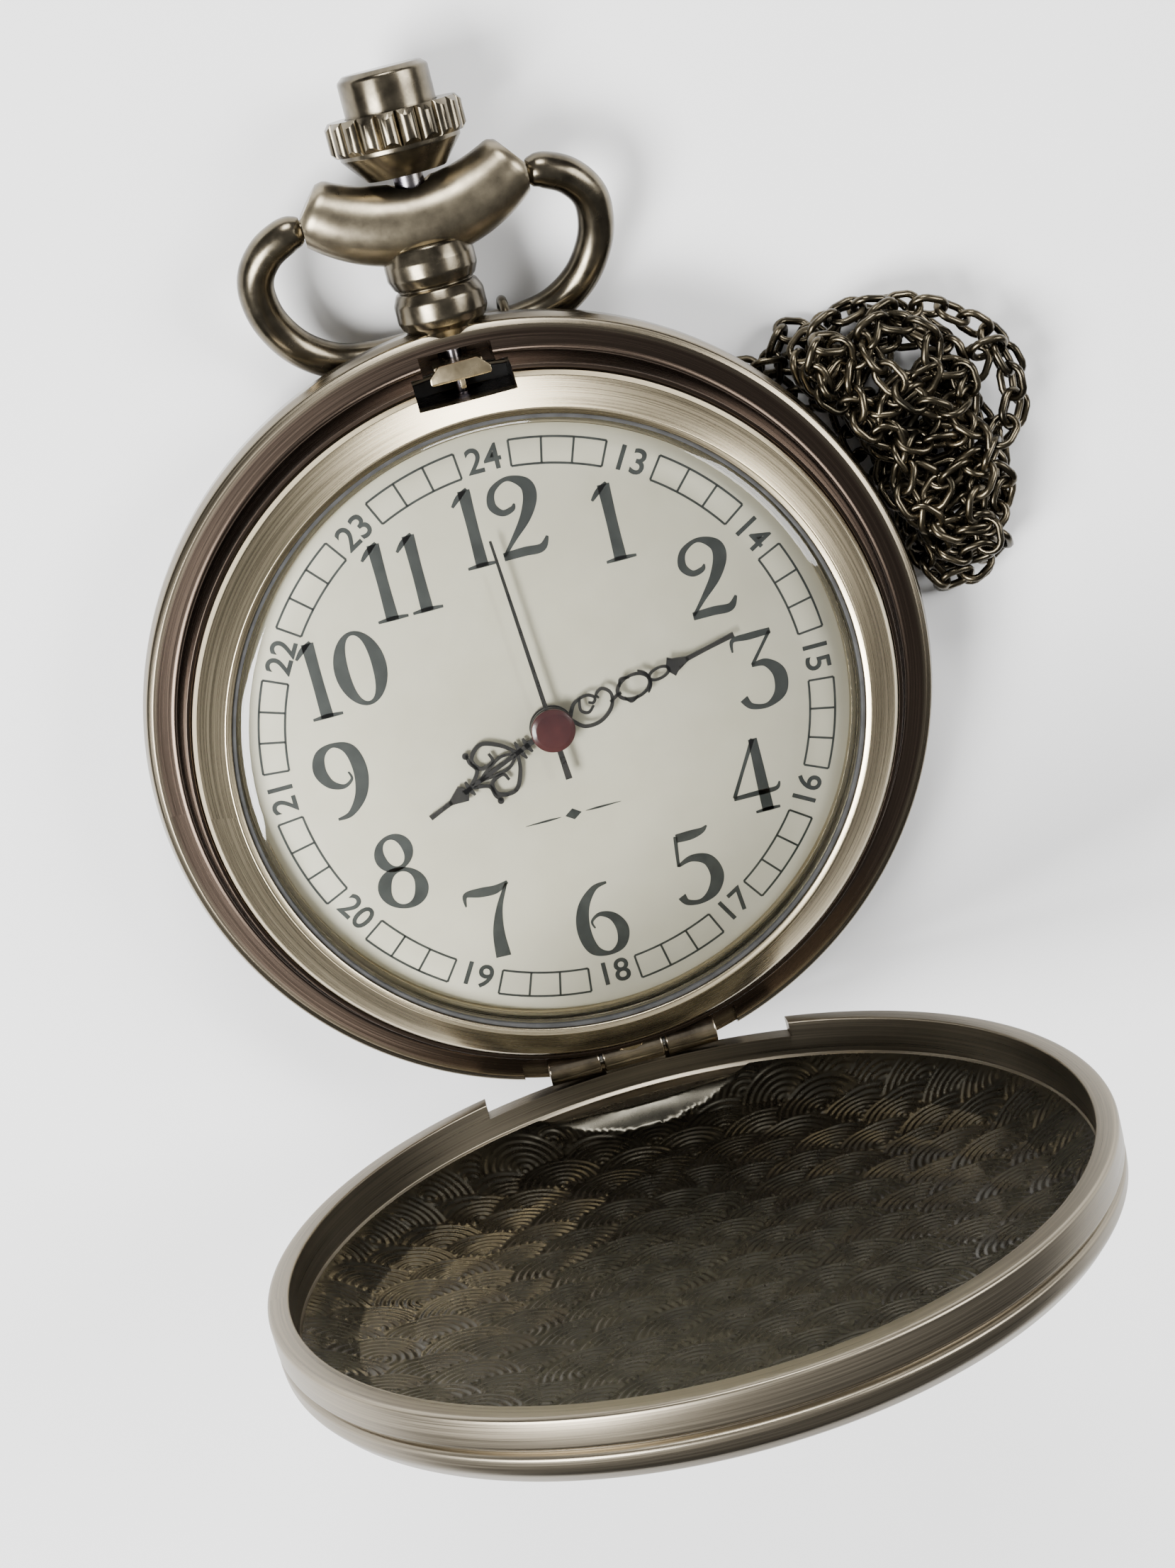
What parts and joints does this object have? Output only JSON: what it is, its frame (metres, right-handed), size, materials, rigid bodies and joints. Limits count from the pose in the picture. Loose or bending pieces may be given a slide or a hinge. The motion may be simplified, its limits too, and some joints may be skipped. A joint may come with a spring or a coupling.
{
  "type": "pocket watch",
  "caption": "Hunter-case quartz pocket watch with a hinged dished cover, domed crystal, crown with push button, swinging bow and a cable chain heaped beside it.",
  "frame": {"origin": "centre of the case back's flat resting face", "axes": "+Z out of the dial, +Y towards 12 o'clock and the crown, +X towards 3 o'clock"},
  "size_m": [0.0568, 0.0648, 0.0516],
  "materials": {
    "case_metal": "antique dark bronze plating, satin with polished edges",
    "bezel_metal": "circular brushed pale bronze",
    "crystal": "clear domed mineral crystal",
    "rubber": "black seal",
    "dial_paint": "cream enamelled brass plate",
    "hand_black": "gloss black",
    "cap_dark": "dark maroon gloss",
    "movement_plastic": "white moulded",
    "gear_brass": "cut brass",
    "steel": "turned steel",
    "copper": "lacquered copper wire",
    "board": "green solder mask",
    "resin": "black resin",
    "chain_metal": "antique dark bronze links"
  },
  "bodies": {
    "case": {"case_middle": "case_metal", "case_back": "case_metal", "back_gasket": "rubber", "bezel_ring": "bezel_metal", "crystal_gasket": "rubber", "crystal": "crystal", "dial": "dial_paint", "movement_ring": "movement_plastic", "main_plate": "gear_brass", "train_bridge": "gear_brass", "bridge_screws": "steel", "stator": "steel", "coil": "copper", "circuit_board": "board", "driver_chip": "resin", "quartz_can": "steel", "battery": "steel", "battery_strap": "gear_brass", "minute_wheel_stud": "steel", "pendant_neck": "case_metal", "pendant_saddle": "case_metal", "hinge_pin": "steel", "lift_spring": "bezel_metal", "chain_lead": "chain_metal", "chain_heap": "chain_metal"},
    "cover": {"front_cover": "case_metal", "cover_panel": "case_metal"},
    "bow": {"bow": "case_metal", "bow_link": "case_metal"},
    "catch": {"latch_catch": "bezel_metal"},
    "lever": {"setting_lever": "steel"},
    "crown": {"crown": "case_metal", "crown_cross_pin": "steel", "setting_stem": "steel", "sliding_pinion": "steel"},
    "button": {"push_button": "case_metal", "push_tube": "steel"},
    "seconds": {"seconds_hand": "hand_black", "hand_cap": "cap_dark", "seconds_wheel": "gear_brass"},
    "minutes": {"minute_hand": "hand_black", "centre_wheel": "gear_brass", "cannon_pinion": "steel"},
    "hours": {"hour_hand": "hand_black", "hour_wheel": "gear_brass"},
    "motion_wheel": {"minute_wheel": "gear_brass"},
    "third": {"third_wheel": "gear_brass"},
    "intermediate": {"intermediate_wheel": "gear_brass"},
    "rotor": {"rotor": "steel"}
  },
  "joints": [
    {"name": "cover_hinge", "type": "hinge", "parent": "case", "child": "cover", "pos_m": [0, -0.022, 0.0066], "axis": [1, 0, 0], "range_deg": [-86, 0]},
    {"name": "bow_swing", "type": "hinge", "parent": "case", "child": "bow", "pos_m": [0, 0.0304, 0.0048], "axis": [1, 0, 0], "range_deg": [0, 270]},
    {"name": "catch_slide", "type": "slide", "parent": "case", "child": "catch", "axis": [0, 1, 0], "range_m": [-0.00056, 0]},
    {"name": "crown_pull", "type": "slide", "parent": "case", "child": "lever", "axis": [0, 1, 0], "range_m": [0, 0.001]},
    {"name": "crown_turn", "type": "hinge", "parent": "lever", "child": "crown", "pos_m": [0, 0.03, 0.0048], "axis": [0, 1, 0], "continuous": true},
    {"name": "button_press", "type": "slide", "parent": "crown", "child": "button", "axis": [0, 1, 0], "range_m": [-0.0009, 0], "stiffness_N_per_m": 400},
    {"name": "seconds_spin", "type": "hinge", "parent": "case", "child": "seconds", "pos_m": [0, 0, 0.0096], "axis": [0, 0, 1], "continuous": true},
    {"name": "minutes_spin", "type": "hinge", "parent": "case", "child": "minutes", "pos_m": [0, 0, 0.0092], "axis": [0, 0, 1], "continuous": true},
    {"name": "hours_spin", "type": "hinge", "parent": "case", "child": "hours", "pos_m": [0, 0, 0.00885], "axis": [0, 0, 1], "continuous": true},
    {"name": "motion_wheel_spin", "type": "hinge", "parent": "case", "child": "motion_wheel", "pos_m": [0.00212, 0.00212, 0.0065], "axis": [0, 0, 1], "continuous": true},
    {"name": "third_spin", "type": "hinge", "parent": "case", "child": "third", "pos_m": [-0.00383, -0.00139, 0.004], "axis": [0, 0, 1], "continuous": true},
    {"name": "intermediate_spin", "type": "hinge", "parent": "case", "child": "intermediate", "pos_m": [0.0021, -0.00364, 0.003], "axis": [0, 0, 1], "continuous": true},
    {"name": "rotor_spin", "type": "hinge", "parent": "case", "child": "rotor", "pos_m": [0.00477, -0.00518, 0.003], "axis": [0, 0, 1], "continuous": true}
  ],
  "couplings": [
    {"joint": "catch_slide", "follows": "button_press", "ratio": 0.61},
    {"joint": "minutes_spin", "follows": "seconds_spin", "ratio": 0.016667},
    {"joint": "hours_spin", "follows": "seconds_spin", "ratio": 0.0013889},
    {"joint": "motion_wheel_spin", "follows": "seconds_spin", "ratio": -0.0055556},
    {"joint": "third_spin", "follows": "seconds_spin", "ratio": -0.13333},
    {"joint": "intermediate_spin", "follows": "seconds_spin", "ratio": -5},
    {"joint": "rotor_spin", "follows": "seconds_spin", "ratio": 30}
  ]
}
